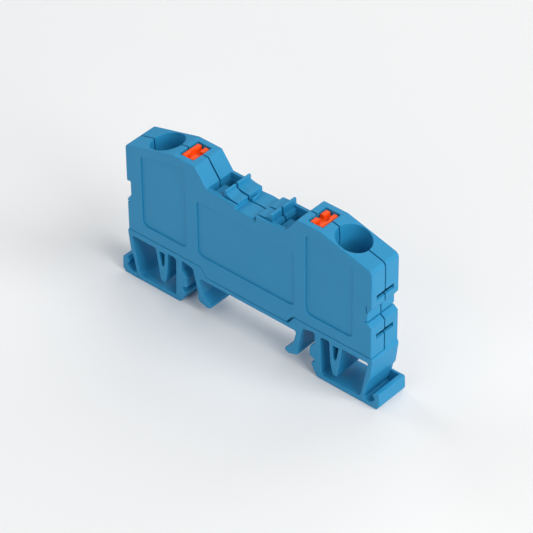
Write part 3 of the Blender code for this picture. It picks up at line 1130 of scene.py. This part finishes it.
for label, side in SIDES.items():
    node = f"{label}_clamp_cage"
    place(make_cage(label, side), "housing", [node], cage_steel, node)

# %% [markdown]
# ## The clamp springs
#
# Each spring is one strip bent like a hairpin. Its foot rests on the bar, and its free
# leg presses the wire against the contact leg. The real strip flexes at the bend; here
# one mesh stands for both solids of the frame.

# %% Build the springs
SPRING_THICKNESS = 0.5
SPRING_HALF_WIDTH = 2.1
SPRING_ROUND = 0.06
BEND = Vector((13.7, 26.4))
BEND_RADIUS = 1.6
LEG_SLOPE = radians(10)
LEG_FLAT = 4.4
CLAMP_SLOPE = radians(60)
CLAMP_LENGTH = 7.2


def spring_line():
    """The middle line of the whole spring, from its foot to the clamping edge."""
    back = BEND.x - BEND_RADIUS
    foot = middle_line([(16.3, 16.95), (back, 16.95, 1.0), (back, BEND.y)])
    bend = arc(BEND, BEND_RADIUS, pi, pi / 2 - LEG_SLOPE)
    flat_end = bend[-1] + LEG_FLAT * Vector((cos(LEG_SLOPE), -sin(LEG_SLOPE)))
    tip = flat_end + CLAMP_LENGTH * Vector((cos(CLAMP_SLOPE), -sin(CLAMP_SLOPE)))
    leg = middle_line([tuple(bend[-1]), (*flat_end, 0.8), tuple(tip)])
    return foot[:-1] + bend + leg[1:]


def make_spring(label, side):
    line = [Vector((side * p.x, p.y)) for p in spring_line()]
    wide = solid_stations(-SPRING_HALF_WIDTH, SPRING_HALF_WIDTH, SPRING_ROUND, SPRING_ROUND)
    return loft(f"{label}_spring", strip_ring(line, SPRING_THICKNESS), wide)


for label, side in SIDES.items():
    spring = make_spring(label, side)
    nodes = [f"{label}_clamp_spring", f"{label}_spring_leg"]
    place(spring, None, nodes, spring_steel, nodes[0])
    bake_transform(spring)

# %% [markdown]
# ## The floor
#
# The block stands on a sheet of pale card. It is one wide face with a very faint
# mottling, so that nothing on it draws the eye.

# %% Build the floor
FLOOR_HALF = 900.0


def make_floor():
    bm = bmesh.new()
    corners = [(-1, -1), (1, -1), (1, 1), (-1, 1)]
    bm.faces.new([bm.verts.new((x * FLOOR_HALF, y * FLOOR_HALF, 0)) for x, y in corners])
    floor = mesh_object("floor", bm)
    card = Finish("pale_card", Roughness=0.8, Specular_IOR_Level=0.2)
    mottle = card.noise(card.millimetres(), 0.02, detail=3)
    card.feed(Base_Color=card.mix(mottle, (0.80, 0.80, 0.81, 1), (0.82, 0.82, 0.82, 1)))
    floor.data.materials.append(card.material)
    return floor


make_floor()
print("floor across in m:", 2 * FLOOR_HALF * MM)

# %% [markdown]
# ## Light
#
# A dim white sky fills the shadows. A large soft panel off the right end gives most of
# the light, and three weaker ones stand off the other three sides.

# %% Sky and panels
TARGET = Vector((1.70, 0, 16.98)) * MM


def make_sky(strength):
    sky = bpy.data.worlds.new("white_sky")
    sky.use_nodes = True
    light = sky.node_tree.nodes["Background"]
    light.inputs["Color"].default_value = (0.93, 0.965, 1.0, 1)
    light.inputs["Strength"].default_value = strength
    bpy.context.scene.world = sky


def soft_panel(name, direction, distance, size, power, tint):
    """A square light that faces the block from a direction, at a distance in metres."""
    light = bpy.data.lights.new(name, "AREA")
    light.shape = "SQUARE"
    light.size = size
    light.energy = power
    light.color = tint
    lamp = bpy.data.objects.new(name, light)
    bpy.context.scene.collection.objects.link(lamp)
    away = Vector(direction).normalized()
    lamp.location = TARGET + away * distance
    lamp.rotation_euler = away.to_track_quat("Z", "Y").to_euler()


make_sky(0.13)
PANELS = {
    # name: direction towards it, distance, size, power, tint
    "main_panel": ((1.0, 0.0, 0.78), 1.0, 0.8, 11.6, (1.0, 0.99, 0.97)),
    "left_panel": ((-1.0, 0.0, 0.5), 1.0, 0.6, 3.8, (0.97, 0.99, 1.0)),
    "rear_panel": ((-0.25, 1.0, 0.6), 1.0, 1.0, 4.3, (0.97, 0.99, 1.0)),
    "front_panel": ((0.0, -1.0, 0.5), 1.0, 0.8, 2.8, (0.98, 0.99, 1.0)),
}
for name, settings in PANELS.items():
    soft_panel(name, *settings)

# %% [markdown]
# ## Camera
#
# A long lens from well back keeps the long edges nearly parallel. The camera is placed
# by its turn round the block, its height angle and its distance, and tipped very
# slightly to one side.

# %% Place the camera
LENS = 218.05
SENSOR = 36.0
CAMERA_TURN = radians(41.46)
CAMERA_HEIGHT = radians(38.55)
CAMERA_ROLL = radians(-0.70)
CAMERA_DISTANCE = 0.6401


def make_camera():
    turn, height = CAMERA_TURN, CAMERA_HEIGHT
    back = Vector((sin(turn) * cos(height), -cos(turn) * cos(height), sin(height)))
    right = Vector((cos(turn), sin(turn), 0))
    up = back.cross(right)
    level = Matrix((right, up, back)).transposed()
    camera = bpy.data.objects.new("camera", bpy.data.cameras.new("camera"))
    bpy.context.scene.collection.objects.link(camera)
    camera.data.lens = LENS
    camera.data.sensor_width = SENSOR
    camera.data.clip_start = 0.01
    spin = Matrix.Rotation(CAMERA_ROLL, 3, "Z")
    spot = Matrix.Translation(TARGET + back * CAMERA_DISTANCE)
    camera.matrix_world = spot @ (level @ spin).to_4x4()
    bpy.context.scene.camera = camera
    return camera


print("camera at", [round(v, 4) for v in make_camera().matrix_world.translation])
bpy.context.scene.view_settings.view_transform = "Standard"
